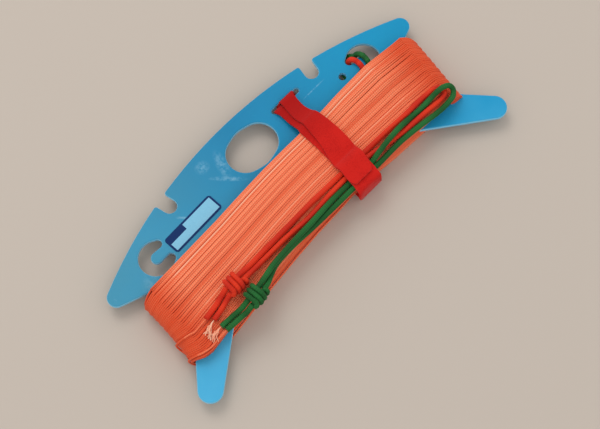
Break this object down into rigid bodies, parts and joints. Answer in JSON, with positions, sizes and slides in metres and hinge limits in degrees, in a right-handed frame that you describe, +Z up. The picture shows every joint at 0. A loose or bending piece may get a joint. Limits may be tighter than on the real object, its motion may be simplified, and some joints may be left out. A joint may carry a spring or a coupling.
{
  "type": "hand line winder",
  "caption": "Flat moulded hand winder wound with two orange flying lines, their sleeved loop ends held on top by a hook-and-loop strap that opens.",
  "frame": {"origin": "under the middle of the winder, on the surface that it lies on", "axes": "+X along the winder's length, +Y towards its curved grip edge and finger hole, +Z up through the plate, out of the face that carries the label"},
  "size_m": [0.24, 0.109, 0.026],
  "materials": {
    "blue_plastic": "moulded polypropylene, semi-gloss",
    "label_paper": "printed film sticker",
    "orange_line": "braided synthetic line",
    "red_sleeve": "woven sleeving",
    "green_sleeve": "woven sleeving",
    "strap": "hook-and-loop tape"
  },
  "bodies": {
    "winder": {"winder_plate": "blue_plastic", "label": "label_paper", "inner_turns": "orange_line", "red_end_line": "orange_line", "green_end_line": "orange_line", "red_sleeve_loop": "red_sleeve", "red_knot": "red_sleeve", "red_sleeve_tails": "red_sleeve", "green_sleeve_loop": "green_sleeve", "green_knot": "green_sleeve", "green_sleeve_tails": "green_sleeve", "line_tag_ends": "orange_line", "red_start_loop": "red_sleeve", "green_start_loop": "green_sleeve", "strap_band": "strap"},
    "strap_tail": {"strap_tail": "strap"}
  },
  "joints": [
    {"name": "strap_tail_peel", "type": "hinge", "parent": "winder", "child": "strap_tail", "pos_m": [0.036, 0.04075, 0.0109], "axis": [-1, 0, 0], "range_deg": [0, 80]}
  ]
}
